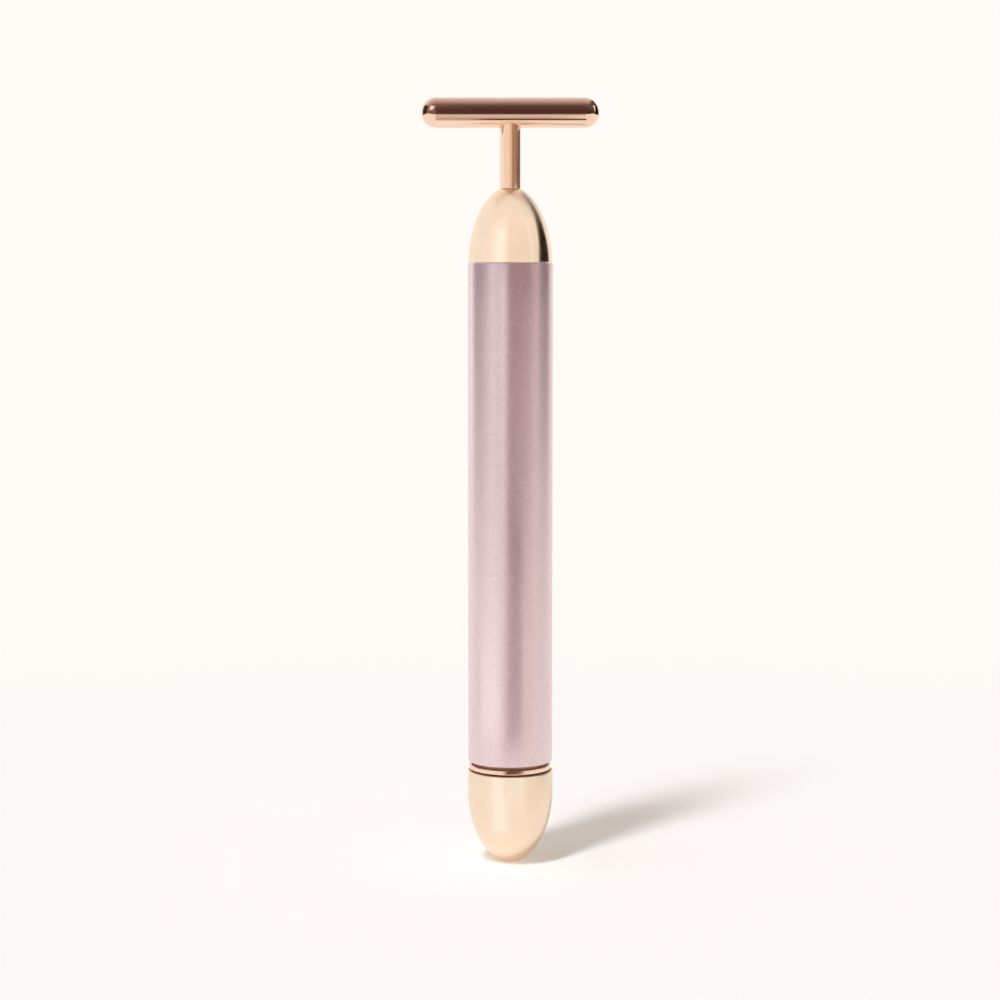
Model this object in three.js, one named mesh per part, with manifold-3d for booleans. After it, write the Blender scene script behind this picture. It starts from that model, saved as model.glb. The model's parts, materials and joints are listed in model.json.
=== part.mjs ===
// A slim battery massager: a round T-bar on a thin neck, an ogive head, a straight barrel and a bullet tail
// that screws on. Millimetres, +Z up, origin at the centre of the small flat foot under the tail.
// The T-bar lies along X. The barrel is sized from the AA cell inside it, and the pieces seat on each other.
import * as THREE from "three";
import { mergeVertices } from "three/addons/utils/BufferGeometryUtils.js";
import Module from "manifold-3d";

// Fits
const slideFit = 0.2; // radial room of a piece that slides into another
const pressFit = 0.08; // radial room of a piece that is pressed or glued in
const neckFit = 0.05; // radial room round the neck in the bar
const seatGap = 0.05; // between faces that seat on each other
const cutOverrun = 1; // how far a cutting body runs past what it cuts

// Battery cell, standard AA
const batteryRadius = 7.1;
const batteryLength = 50.5;
const nubRadius = 2.65;
const nubHeight = 1.5;
const nubEdge = 0.35;
const canEdge = 0.5;
const insulatorThickness = 0.3;
const insulatorMargin = 0.25; // between the insulator and the nub, and the insulator and the can's edge

// Battery bay
const batteryRoom = 0.28; // radial room round the cell
const linerWall = 0.24;

// Barrel tube
const tubeWall = 0.7;
const tubeEdge = 0.15;

// Tail
const tailLength = 18.4;
const tailNoseLength = 14.5; // to where the curve of the nose would close
const tailFullness = 1.9; // 2 is an ellipse
const tailOverhang = 0.1; // how far the tail stands out past the tube
const footRadius = 2.5;
const tailEdge = 0.2;
const tailCavityDepth = 9.4;
const tailRimWall = 1.2;
const tailReveal = 0.35; // the dark line under the ring
const tubeReveal = 0.65; // and the wider one over it
const ringHeight = 0.95;
const ringEdge = 0.12;
const ringInset = 0.2; // how far the ring stands back from the tube

// Thread insert and plug
const bushWall = 0.9;
const bushDepth = 11; // how far it reaches up into the tube
const leadInDepth = 2.05; // plain mouth where the seal runs
const leadInWiden = 0.15;
const threadFit = 0.2; // radial room between the threads
const threadLength = 3.75;
const plugWall = 1.2;
const plugFloorRise = 5.6; // the pocket's floor above the tail's rim
const plugFloor = 3;
const pocketDepth = 5;
const noseInset = 0.3; // the plain end past the thread is this much thinner
const contactRingThickness = 0.4;
const sealRadius = 0.42; // section of the tail's O-ring
const sealRise = 1.4; // its middle above the tail's rim
const grooveMargin = 0.1; // room on each side of an O-ring in its groove

// Spring and its cup. The spring takes up what the barrel has left, so its length sets the barrel's.
const springLength = 17.55;
const cupWall = 0.3;
const cupFloor = 0.4;
const cupDepth = 2.4;
const wireRadius = 0.4;
const springTurns = 7.5;
const endTurnPitch = 1.3;
const springFit = 0.2; // between the coil and the cup's wall

// Head cap, an ogive
const capInset = 0.1; // how far its rim stands back from the tube
const capHeight = 14.4;
const capFullness = 1.9; // 2 is an ellipse
const capBlunt = 0.6; // its curve would close this much above its top
const capWall = 0.9;
const crownThickness = 2.35;
const cavityBlunt = 1.55; // and the cavity's this much above its ceiling

// Neck and T-bar
const neckRadius = 2.05;
const neckHeight = 14.9; // from the cap's top to the bar's axis
const spigotRadius = 1.5;
const spigotRoom = 0.1;
const spigotTail = 0.35; // how far the spigot's end shows past the nut
const nutThickness = 1.4;
const nutRoom = 0.25; // between the nut's corners and the cavity's edge
const barRadius = 3;
const barLength = 35;
const barSeatRise = 0.3; // the socket's end above the end of the neck

// Motor, weight and their housing
const shaftRadius = 0.5;
const shaftRoom = 0.1;
const shaftTip = 0.3; // past the weight
const headroom = 0.4; // between the shaft and the neck's spigot
const weightHeight = 4.4;
const weightInset = 1.3; // the weight is this much smaller than the motor, in radius
const weightHubWall = 1.1;
const weightGap = 0.3;
const bossHeight = 0.7;
const bossWall = 0.9;
const motorLength = 20;
const motorWall = 0.4;
const endCapHeight = 1.3;
const endCapPlug = 0.8; // how far the end cap reaches into the can
const magnetWall = 1.1;
const magnetRise = 3.8; // above the can's open end
const magnetDrop = 2.8; // below the can's closed end, inside
const airGap = 0.3;
const rotorRise = 4.8;
const rotorDrop = 3.8;
const rubberWall = 1.1;
const rubberTopInset = 0.6; // the rubber ends this much below the housing's top
const coreWall = 1.3;
const coreRise = 3.4; // how far the housing reaches up into the head cap
const ledgeThickness = 1;
const ledgeWidth = 2.7;
const wireChamber = 5.8;
const headSealRadius = 0.36;
const headSealDrop = 3.5; // its middle below the seam

// Leads, contact board and positive contact
const leadRadius = 0.45;
const leadRoom = 1.15; // between a lead's ends and the edge of the ledge's opening
const leadBow = 1.2;
const leadGap = 0.3;
const boardThickness = 1;
const boardHoleRadius = 0.5;
const contactHeight = 2;
const contactFlangeRadius = 3;
const contactFlange = 0.4;
const contactTipRadius = 1.8;
const contactEdge = 0.3;

// Radii that follow from the cell outwards
const linerInner = batteryRadius + batteryRoom;
const linerOuter = linerInner + linerWall;
const tubeInner = linerOuter + pressFit;
const tubeOuter = tubeInner + tubeWall;
const tailRadius = tubeOuter + tailOverhang;
const ringOuter = tubeOuter - ringInset;
const capRadius = tubeOuter - capInset;
const bushOuter = tubeInner - pressFit;
const bushBore = bushOuter - bushWall;
const leadInBore = bushBore + leadInWiden;
const threadRadius = bushBore - threadFit;
const plugNoseRadius = threadRadius - noseInset;
const pocketRadius = threadRadius - plugWall;
const cavityRadius = tailRadius - tailRimWall;
const plugBody = cavityRadius - slideFit;
const cupOuter = pocketRadius - slideFit;
const coilRadius = cupOuter - cupWall - springFit - wireRadius;
const coreOuter = tubeInner - slideFit;
const coreBore = coreOuter - coreWall;
const rubberOuter = coreBore - pressFit;
const rubberInner = rubberOuter - rubberWall;
const motorRadius = rubberInner - pressFit;
const weightRadius = motorRadius - weightInset;
const ledgeOpening = coreBore - ledgeWidth;
const leadOffset = ledgeOpening - leadRoom - leadRadius;

// Heights that follow from the foot upwards, through the pieces as they lie on each other
const ringBottom = tailLength + tailReveal;
const tubeBottom = ringBottom + ringHeight + tubeReveal;
const pocketFloor = tailLength + plugFloorRise;
const springBottom = pocketFloor + seatGap + cupFloor + seatGap;
const batteryBottom = springBottom + springLength + seatGap;
const batteryTop = batteryBottom + batteryLength;
const boardBottom = batteryTop + seatGap + contactHeight + seatGap;
const coreBottom = boardBottom + boardThickness + seatGap;
const ledgeTop = coreBottom + wireChamber + ledgeThickness;
const motorBottom = ledgeTop + seatGap + endCapHeight;
const motorTop = motorBottom + motorLength;
const weightBottom = motorTop + bossHeight + weightGap;
const shaftTop = weightBottom + weightHeight + shaftTip;
const spigotEnd = shaftTop + headroom;
const nutBottom = spigotEnd + spigotTail;
const crownFace = nutBottom + nutThickness + seatGap;
const capTop = crownFace + crownThickness;
const capCurveHeight = capHeight + capBlunt;
const capCavityHeight = capHeight - crownThickness + cavityBlunt;
const seam = capTop - capHeight;
const tubeLength = seam - tubeBottom;
const barAxis = capTop + neckHeight;
const magnetLength = motorLength - motorWall - magnetRise - magnetDrop;
const rotorLength = motorLength - motorWall - rotorRise - rotorDrop;

// How finely round things are faceted
const outerSides = 40;
const innerSides = 28;
const smallSides = 16;
const sealSides = 8;
const curveSteps = 9;
const domeSteps = 6;
const wireSides = 5;
const stepsPerTurn = 8;
const leadSides = 8;
const leadSteps = 14;

const wasm = await Module();
wasm.setup();

const finishes = {
  champagne: { color: 0xf3dcc0, roughness: 0.25, metalness: 1 },
  roseGold: { color: 0xd9a488, roughness: 0.12, metalness: 1 },
  pinkAnodised: { color: 0xd3b6ba, roughness: 0.35, metalness: 0.8 },
  brass: { color: 0xc9a14a, roughness: 0.35, metalness: 1 },
  steel: { color: 0xb9bcc0, roughness: 0.35, metalness: 1 },
  bronze: { color: 0xce9f8b, roughness: 0.5, metalness: 0.8 },
  darkIron: { color: 0x4a4a4d, roughness: 0.6, metalness: 0.6 },
  blackRubber: { color: 0x1c1c1e, roughness: 0.85, metalness: 0 },
  whitePlastic: { color: 0xe6e4de, roughness: 0.5, metalness: 0 },
  clearLiner: { color: 0xd9d4c4, roughness: 0.6, metalness: 0 },
  greenBoard: { color: 0x2d6b45, roughness: 0.5, metalness: 0 },
  redLead: { color: 0xb3252a, roughness: 0.5, metalness: 0 },
  blackLead: { color: 0x222226, roughness: 0.5, metalness: 0 },
  cellLabel: { color: 0x3c4450, roughness: 0.4, metalness: 0.1 },
};

function piece(name, geometry, finish, height) {
  const mesh = new THREE.Mesh(geometry, new THREE.MeshStandardMaterial(finish));
  mesh.name = name;
  mesh.position.z = height;
  return mesh;
}

// A solid of revolution about Z from [radius, height] points, from the axis's lower end to its upper one.
function turned(points, sides = innerSides) {
  const profile = points.map(([radius, height]) => new THREE.Vector2(radius, height));
  return new THREE.LatheGeometry(profile, sides).rotateX(Math.PI / 2);
}

// The same for a profile that goes round a hole and ends where it starts.
function turnedRing(points, sides = innerSides) {
  return turned([...points, points[0]], sides);
}

function plainRing(inner, outer, height, sides = innerSides) {
  return turnedRing([[inner, 0], [outer, 0], [outer, height], [inner, height]], sides);
}

function rubberSeal(ringRadius, sectionRadius) {
  const points = [];
  for (let i = 0; i < sealSides; i++) {
    const angle = (i / sealSides) * 2 * Math.PI;
    points.push([ringRadius + sectionRadius * Math.cos(angle), sectionRadius * Math.sin(angle)]);
  }
  return turnedRing(points);
}

// Points of a curve whose radius falls from the full one at height 0 to nothing at the closing height.
function ogivePoints(radius, closingHeight, fullness, fromHeight, toHeight) {
  const angleAt = (height) => Math.asin((height / closingHeight) ** (fullness / 2));
  const [first, last] = [angleAt(fromHeight), angleAt(toHeight)];
  const points = [];
  for (let i = 0; i <= curveSteps; i++) {
    const angle = first + ((last - first) * i) / curveSteps;
    const shrink = Math.cos(angle) ** (2 / fullness);
    points.push([radius * shrink, closingHeight * Math.sin(angle) ** (2 / fullness)]);
  }
  return points;
}

const capInnerAt = (height) => (capRadius - capWall) * Math.sqrt(1 - (height / capCavityHeight) ** 2);

function solidOf(geometry) {
  const bare = geometry.clone();
  bare.deleteAttribute("normal");
  bare.deleteAttribute("uv");
  const merged = mergeVertices(bare);
  const vertProperties = merged.attributes.position.array;
  const triVerts = new Uint32Array(merged.index.array);
  return new wasm.Manifold(new wasm.Mesh({ numProp: 3, vertProperties, triVerts }));
}

function geometryOf(solid) {
  const { vertProperties, triVerts } = solid.getMesh();
  const geometry = new THREE.BufferGeometry();
  geometry.setAttribute("position", new THREE.BufferAttribute(vertProperties, 3));
  geometry.setIndex(new THREE.BufferAttribute(triVerts, 1));
  geometry.computeVertexNormals();
  return geometry;
}

// The bar along X, with a blind socket for the neck underneath.
function barGeometry() {
  const halfStraight = barLength / 2 - barRadius;
  const points = [];
  for (let i = 0; i <= domeSteps; i++) {
    const angle = (i / domeSteps) * (Math.PI / 2);
    points.push([barRadius * Math.sin(angle), -halfStraight - barRadius * Math.cos(angle)]);
  }
  const mirrored = points.map(([radius, along]) => [radius, -along]).reverse();
  const bar = turned([...points, ...mirrored], outerSides).rotateY(Math.PI / 2);
  const depth = barRadius + cutOverrun;
  const socket = new THREE.CylinderGeometry(neckRadius + neckFit, neckRadius + neckFit, depth, innerSides);
  socket.rotateX(Math.PI / 2).translate(0, 0, barSeatRise - depth / 2);
  return geometryOf(solidOf(bar).subtract(solidOf(socket)));
}

// The neck stands on the cap's top, its thin spigot goes down through the crown and the nut.
function neckGeometry() {
  const drop = capTop - spigotEnd;
  return turned([[0, -drop], [spigotRadius, -drop], [spigotRadius, seatGap], [neckRadius, seatGap],
    [neckRadius, neckHeight], [0, neckHeight]]);
}

function nutGeometry() {
  const corner = capInnerAt(capHeight - crownThickness) - nutRoom;
  const outline = new THREE.Shape();
  for (let i = 0; i < 6; i++) {
    const angle = (i / 6) * 2 * Math.PI;
    outline[i ? "lineTo" : "moveTo"](corner * Math.cos(angle), corner * Math.sin(angle));
  }
  outline.closePath();
  const hole = new THREE.Path();
  hole.absarc(0, 0, spigotRadius + spigotRoom, 0, 2 * Math.PI, true);
  outline.holes.push(hole);
  return new THREE.ExtrudeGeometry(outline, { depth: nutThickness, bevelEnabled: false, curveSegments: 12 });
}

function headCapGeometry() {
  const crown = capHeight - crownThickness;
  const outer = ogivePoints(capRadius, capCurveHeight, capFullness, 0, capHeight);
  const inner = ogivePoints(capRadius - capWall, capCavityHeight, 2, 0, crown).reverse();
  const bore = spigotRadius + spigotRoom;
  return turnedRing([...outer, [bore, capHeight], [bore, crown], ...inner], outerSides);
}

// The moulded housing: a spigot in the tube with the seal's groove, a thinner top in the head cap,
// a ledge under the motor and a chamber for the leads.
function coreGeometry() {
  const top = seam + coreRise - coreBottom;
  const shoulder = seam - coreBottom - seatGap;
  const ledge = ledgeTop - coreBottom;
  const grooveRadius = tubeInner - pressFit - 2 * headSealRadius - grooveMargin;
  const grooveMiddle = shoulder - headSealDrop;
  const grooveHalf = headSealRadius + grooveMargin;
  const topRadius = capInnerAt(coreRise) - pressFit;
  return turnedRing([
    [coreBore, 0], [coreOuter, 0],
    [coreOuter, grooveMiddle - grooveHalf], [grooveRadius, grooveMiddle - grooveHalf],
    [grooveRadius, grooveMiddle + grooveHalf], [coreOuter, grooveMiddle + grooveHalf],
    [coreOuter, shoulder], [topRadius, shoulder], [topRadius, top], [coreBore, top],
    [coreBore, ledge], [ledgeOpening, ledge], [ledgeOpening, ledge - ledgeThickness],
    [coreBore, ledge - ledgeThickness],
  ], outerSides);
}

function motorCanGeometry() {
  const inner = motorRadius - motorWall;
  const bore = shaftRadius + shaftRoom;
  const boss = bore + bossWall;
  return turnedRing([[inner, 0], [motorRadius, 0], [motorRadius, motorLength], [boss, motorLength],
    [boss, motorLength + bossHeight], [bore, motorLength + bossHeight], [bore, motorLength - motorWall],
    [inner, motorLength - motorWall]]);
}

function endCapGeometry() {
  const plug = motorRadius - motorWall - pressFit;
  const rim = endCapHeight - seatGap;
  const top = endCapHeight + endCapPlug;
  return turned([[0, 0], [motorRadius, 0], [motorRadius, rim], [plug, rim], [plug, top], [0, top]]);
}

// Half a disc with a round hub, bored for the shaft.
function weightGeometry() {
  const hub = shaftRadius + weightHubWall;
  const outline = new THREE.Shape();
  outline.moveTo(0, -weightRadius);
  outline.absarc(0, 0, weightRadius, -Math.PI / 2, Math.PI / 2, false);
  outline.lineTo(0, hub);
  outline.absarc(0, 0, hub, Math.PI / 2, (3 * Math.PI) / 2, false);
  outline.closePath();
  const hole = new THREE.Path();
  hole.absarc(0, 0, shaftRadius + neckFit, 0, 2 * Math.PI, true);
  outline.holes.push(hole);
  return new THREE.ExtrudeGeometry(outline, { depth: weightHeight, bevelEnabled: false, curveSegments: 12 });
}

// A lead bows from the motor's end cap down through the ledge to the board, on the side that the sign says.
function leadGeometry(side) {
  const top = motorBottom - endCapHeight - leadGap - coreBottom;
  const bottom = leadGap;
  const route = new THREE.CatmullRomCurve3([
    new THREE.Vector3(side * leadOffset, 0, bottom),
    new THREE.Vector3(side * leadOffset, leadBow, bottom + (top - bottom) / 3),
    new THREE.Vector3(side * leadOffset, -leadBow, bottom + (2 * (top - bottom)) / 3),
    new THREE.Vector3(side * leadOffset, 0, top),
  ]);
  const section = new THREE.Shape();
  for (let i = 0; i < leadSides; i++) {
    const angle = (i / leadSides) * 2 * Math.PI;
    section[i ? "lineTo" : "moveTo"](leadRadius * Math.cos(angle), leadRadius * Math.sin(angle));
  }
  section.closePath();
  return new THREE.ExtrudeGeometry(section, { steps: leadSteps, extrudePath: route });
}

// A round board with two small holes where the leads are soldered.
function boardGeometry() {
  const outline = new THREE.Shape();
  outline.absarc(0, 0, linerOuter - seatGap, 0, 2 * Math.PI, false);
  for (const side of [-1, 1]) {
    const hole = new THREE.Path();
    hole.absarc(0, side * (contactFlangeRadius + boardHoleRadius * 2), boardHoleRadius, 0, 2 * Math.PI, true);
    outline.holes.push(hole);
  }
  const settings = { depth: boardThickness, bevelEnabled: false, curveSegments: 16 };
  return new THREE.ExtrudeGeometry(outline, settings);
}

function contactGeometry() {
  return turned([[0, 0], [contactTipRadius - contactEdge, 0], [contactTipRadius, contactEdge],
    [contactTipRadius, contactHeight - contactFlange], [contactFlangeRadius, contactHeight - contactFlange],
    [contactFlangeRadius, contactHeight], [0, contactHeight]]);
}

function tubeGeometry() {
  return turnedRing([[tubeInner, 0], [tubeOuter - tubeEdge, 0], [tubeOuter, tubeEdge],
    [tubeOuter, tubeLength - tubeEdge], [tubeOuter - tubeEdge, tubeLength - seatGap],
    [tubeInner, tubeLength - seatGap]], outerSides);
}

function batteryCanGeometry() {
  const height = batteryLength - nubHeight;
  return turned([[0, 0], [batteryRadius - canEdge, 0], [batteryRadius, canEdge],
    [batteryRadius, height - canEdge], [batteryRadius - canEdge, height], [0, height]], outerSides);
}

function nubGeometry() {
  const height = nubHeight - seatGap;
  return turned([[0, 0], [nubRadius, 0], [nubRadius, height - nubEdge],
    [nubRadius - nubEdge, height], [0, height]]);
}

// The insert in the tube's lower end: a plain mouth for the seal, then the threaded bore.
function bushGeometry() {
  const top = tubeBottom - ringBottom + bushDepth;
  return turnedRing([[leadInBore, 0], [bushOuter, 0], [bushOuter, top], [bushBore, top],
    [bushBore, leadInDepth], [leadInBore, leadInDepth]], outerSides);
}

function tailRingGeometry() {
  const inner = bushOuter + pressFit;
  return turnedRing([[inner, 0], [ringOuter - ringEdge, 0], [ringOuter, ringEdge],
    [ringOuter, ringHeight - ringEdge], [ringOuter - ringEdge, ringHeight], [inner, ringHeight]], outerSides);
}

// The bullet: a full nose down to the small foot, a short straight part, and the plug's cavity in its top.
function tailCapGeometry() {
  const noseHeight = tailNoseLength * (1 - (footRadius / tailRadius) ** tailFullness) ** (1 / tailFullness);
  const nose = ogivePoints(tailRadius, tailNoseLength, tailFullness, 0, noseHeight);
  const outer = nose.reverse().map(([radius, height]) => [radius, noseHeight - height]);
  const floor = tailLength - tailCavityDepth;
  return turned([[0, 0], ...outer, [tailRadius, tailLength - tailEdge], [tailRadius - tailEdge, tailLength],
    [cavityRadius, tailLength], [cavityRadius, floor], [0, floor]], outerSides);
}

// The plug: a body in the tail's cavity, a shoulder for the contact ring, the seal's groove, the thread,
// a plain nose with the spring's pocket, and a hollow underneath.
function plugGeometry() {
  const bottom = tailLength - tailCavityDepth + seatGap;
  const shoulder = tailLength - contactRingThickness - seatGap - bottom;
  const grooveRadius = leadInBore - neckFit - 2 * sealRadius - grooveMargin;
  const grooveLow = tailLength + sealRise - sealRadius - grooveMargin - bottom;
  const grooveHigh = grooveLow + 2 * (sealRadius + grooveMargin);
  const threadTop = ringBottom + leadInDepth + threadLength - bottom;
  const floorTop = pocketFloor - bottom;
  const top = floorTop + pocketDepth;
  return turned([
    [0, floorTop - plugFloor], [pocketRadius, floorTop - plugFloor], [pocketRadius, 0], [plugBody, 0],
    [plugBody, shoulder], [threadRadius, shoulder],
    [threadRadius, grooveLow], [grooveRadius, grooveLow],
    [grooveRadius, grooveHigh], [threadRadius, grooveHigh],
    [threadRadius, threadTop], [plugNoseRadius, threadTop + noseInset], [plugNoseRadius, top],
    [pocketRadius, top], [pocketRadius, floorTop], [0, floorTop],
  ], outerSides);
}

function cupGeometry() {
  const inner = cupOuter - cupWall;
  return turned([[0, 0], [cupOuter, 0], [cupOuter, cupDepth],
    [inner, cupDepth], [inner, cupFloor], [0, cupFloor]]);
}

// The spring's middle line: one close turn at each end, even turns between.
function coilPoint(turn) {
  const low = wireRadius;
  const high = springLength - wireRadius;
  const openPitch = (high - low - 2 * endTurnPitch) / (springTurns - 2);
  let height = low + endTurnPitch * turn;
  if (turn > 1) height = low + endTurnPitch + openPitch * (turn - 1);
  if (turn > springTurns - 1) height = high - endTurnPitch * (springTurns - turn);
  const angle = turn * 2 * Math.PI;
  return new THREE.Vector3(coilRadius * Math.cos(angle), coilRadius * Math.sin(angle), height);
}

function springGeometry() {
  const steps = Math.round(springTurns * stepsPerTurn);
  const centres = [];
  for (let i = 0; i <= steps; i++) centres.push(coilPoint((i / steps) * springTurns));
  const positions = [];
  for (let i = 0; i <= steps; i++) {
    const along = centres[Math.min(i + 1, steps)].clone().sub(centres[Math.max(i - 1, 0)]).normalize();
    const outwards = new THREE.Vector3(centres[i].x, centres[i].y, 0).normalize();
    const across = along.clone().cross(outwards).normalize();
    outwards.crossVectors(across, along);
    for (let k = 0; k < wireSides; k++) {
      const angle = (k / wireSides) * 2 * Math.PI;
      const point = centres[i].clone().addScaledVector(outwards, wireRadius * Math.cos(angle));
      positions.push(...point.addScaledVector(across, wireRadius * Math.sin(angle)).toArray());
    }
  }
  const faces = [];
  for (let i = 0; i < steps; i++) {
    for (let k = 0; k < wireSides; k++) {
      const a = i * wireSides + k;
      const b = i * wireSides + ((k + 1) % wireSides);
      faces.push(a, b, a + wireSides, b, b + wireSides, a + wireSides);
    }
  }
  const last = steps * wireSides;
  for (let k = 1; k < wireSides - 1; k++) faces.push(0, k + 1, k, last, last + k, last + k + 1);
  const geometry = new THREE.BufferGeometry();
  geometry.setAttribute("position", new THREE.Float32BufferAttribute(positions, 3));
  geometry.setIndex(faces);
  geometry.computeVertexNormals();
  reportLeastGap(centres);
  return geometry;
}

// The least gap between turns, measured on the middle line's points at least half a turn apart.
function reportLeastGap(centres) {
  let least = Infinity;
  for (let i = 0; i < centres.length; i++) {
    for (let k = i + stepsPerTurn / 2; k < centres.length; k++) {
      least = Math.min(least, centres[i].distanceTo(centres[k]) - 2 * wireRadius);
    }
  }
  console.log("battery_spring: least gap to itself " + least.toFixed(2) + " mm");
}

function headGroup() {
  const head = new THREE.Group();
  head.add(piece("t_bar", barGeometry(), finishes.roseGold, barAxis));
  head.add(piece("neck_stem", neckGeometry(), finishes.roseGold, capTop));
  head.add(piece("neck_nut", nutGeometry(), finishes.steel, nutBottom));
  head.add(piece("head_cap", headCapGeometry(), finishes.champagne, seam));
  head.add(piece("head_core", coreGeometry(), finishes.whitePlastic, coreBottom));
  const sealMiddle = seam - seatGap - headSealDrop;
  const sealRing = tubeInner - pressFit - headSealRadius;
  head.add(piece("head_o_ring", rubberSeal(sealRing, headSealRadius), finishes.blackRubber, sealMiddle));
  return head;
}

function motorGroup() {
  const motor = new THREE.Group();
  const rubberLength = seam + coreRise - rubberTopInset - ledgeTop - seatGap;
  const rubber = plainRing(rubberInner, rubberOuter, rubberLength);
  motor.add(piece("motor_sleeve", rubber, finishes.blackRubber, ledgeTop + seatGap));
  motor.add(piece("motor_can", motorCanGeometry(), finishes.steel, motorBottom));
  motor.add(piece("motor_end_cap", endCapGeometry(), finishes.whitePlastic, motorBottom - endCapHeight));
  const magnetOuter = motorRadius - motorWall - pressFit;
  const magnet = plainRing(magnetOuter - magnetWall, magnetOuter, magnetLength);
  motor.add(piece("motor_magnet", magnet, finishes.darkIron, motorBottom + magnetRise));
  const rotor = plainRing(shaftRadius + neckFit, magnetOuter - magnetWall - airGap, rotorLength);
  motor.add(piece("motor_rotor", rotor, finishes.brass, motorBottom + rotorRise));
  const shaftBottom = motorBottom + endCapPlug + headroom;
  const shaftLength = shaftTop - shaftBottom;
  const shaft = turned([[0, 0], [shaftRadius, 0], [shaftRadius, shaftLength], [0, shaftLength]], smallSides);
  motor.add(piece("motor_shaft", shaft, finishes.steel, shaftBottom));
  motor.add(piece("eccentric_weight", weightGeometry(), finishes.darkIron, weightBottom));
  motor.add(piece("lead_wire_red", leadGeometry(1), finishes.redLead, coreBottom));
  motor.add(piece("lead_wire_black", leadGeometry(-1), finishes.blackLead, coreBottom));
  motor.add(piece("contact_board", boardGeometry(), finishes.greenBoard, boardBottom));
  const contactBottom = boardBottom - seatGap - contactHeight;
  motor.add(piece("positive_contact", contactGeometry(), finishes.brass, contactBottom));
  return motor;
}

function barrelGroup() {
  const barrel = new THREE.Group();
  barrel.add(piece("barrel_tube", tubeGeometry(), finishes.pinkAnodised, tubeBottom));
  const linerBottom = tubeBottom + bushDepth + seatGap;
  const liner = plainRing(linerInner, linerOuter, boardBottom - seatGap - linerBottom, outerSides);
  barrel.add(piece("battery_sleeve", liner, finishes.clearLiner, linerBottom));
  barrel.add(piece("battery_can", batteryCanGeometry(), finishes.cellLabel, batteryBottom));
  const shoulder = batteryTop - nubHeight + seatGap;
  barrel.add(piece("battery_positive_cap", nubGeometry(), finishes.steel, shoulder));
  const washerOuter = batteryRadius - canEdge - insulatorMargin;
  const washer = plainRing(nubRadius + insulatorMargin, washerOuter, insulatorThickness);
  barrel.add(piece("battery_insulator", washer, finishes.whitePlastic, shoulder));
  barrel.add(piece("tail_bush", bushGeometry(), finishes.bronze, ringBottom));
  barrel.add(piece("tail_ring", tailRingGeometry(), finishes.champagne, ringBottom));
  return barrel;
}

function tailGroup() {
  const tail = new THREE.Group();
  tail.add(piece("tail_cap", tailCapGeometry(), finishes.champagne, 0));
  tail.add(piece("thread_plug", plugGeometry(), finishes.brass, tailLength - tailCavityDepth + seatGap));
  const contactRing = plainRing(threadRadius + pressFit, plugBody, contactRingThickness);
  tail.add(piece("contact_ring", contactRing, finishes.brass, tailLength - contactRingThickness));
  const seal = rubberSeal(leadInBore - neckFit - sealRadius, sealRadius);
  tail.add(piece("tail_o_ring", seal, finishes.blackRubber, tailLength + sealRise));
  tail.add(piece("spring_cup", cupGeometry(), finishes.steel, pocketFloor + seatGap));
  tail.add(piece("battery_spring", springGeometry(), finishes.steel, springBottom));
  return tail;
}

const group = new THREE.Group();
group.add(headGroup(), motorGroup(), barrelGroup(), tailGroup());

export default group;
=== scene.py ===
import json
import math

import bmesh
import bpy
from mathutils import Matrix, Vector

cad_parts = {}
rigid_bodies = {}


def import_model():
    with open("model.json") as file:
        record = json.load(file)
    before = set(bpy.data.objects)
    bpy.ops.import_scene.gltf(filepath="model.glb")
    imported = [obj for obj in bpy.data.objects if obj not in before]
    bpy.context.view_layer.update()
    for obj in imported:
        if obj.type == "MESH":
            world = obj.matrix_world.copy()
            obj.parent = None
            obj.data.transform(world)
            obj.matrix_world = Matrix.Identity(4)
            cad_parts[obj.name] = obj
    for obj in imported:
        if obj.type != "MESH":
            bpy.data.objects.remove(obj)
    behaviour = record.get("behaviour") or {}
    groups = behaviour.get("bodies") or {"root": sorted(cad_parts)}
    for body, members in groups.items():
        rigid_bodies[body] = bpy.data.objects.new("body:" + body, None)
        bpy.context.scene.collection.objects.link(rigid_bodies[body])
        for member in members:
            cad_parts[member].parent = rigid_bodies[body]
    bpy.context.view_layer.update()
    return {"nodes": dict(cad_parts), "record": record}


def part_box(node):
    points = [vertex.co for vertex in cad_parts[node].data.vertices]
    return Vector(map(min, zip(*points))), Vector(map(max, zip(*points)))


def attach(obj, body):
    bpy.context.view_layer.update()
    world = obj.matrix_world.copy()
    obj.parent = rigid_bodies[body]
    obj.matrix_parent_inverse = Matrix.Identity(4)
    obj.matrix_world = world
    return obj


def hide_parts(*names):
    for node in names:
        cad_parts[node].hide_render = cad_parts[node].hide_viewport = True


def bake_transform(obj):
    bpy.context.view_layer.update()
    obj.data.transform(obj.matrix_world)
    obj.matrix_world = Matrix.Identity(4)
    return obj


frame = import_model()
mm = 0.001
# corners closer together than this become one
weld = mm / 1000
print("frame loaded:", len(frame["nodes"]), "nodes")


# Selecting and editing

def clearSelection():
    if bpy.context.mode != "OBJECT":
        bpy.ops.object.mode_set(mode="OBJECT")
    bpy.ops.object.select_all(action="DESELECT")


def activate(piece):
    clearSelection()
    piece.select_set(True)
    bpy.context.view_layer.objects.active = piece


def selectAll():
    # in edit mode
    bpy.ops.mesh.select_all(action="SELECT")


def pickFaces(piece, test):
    # in edit mode, selects the faces for which the test of their middle is true
    mesh = bmesh.from_edit_mesh(piece.data)
    bpy.ops.mesh.select_mode(type="FACE")
    for face in mesh.faces:
        face.select = bool(test(face.calc_center_median()))
    mesh.select_flush_mode()
    bmesh.update_edit_mesh(piece.data)


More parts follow.
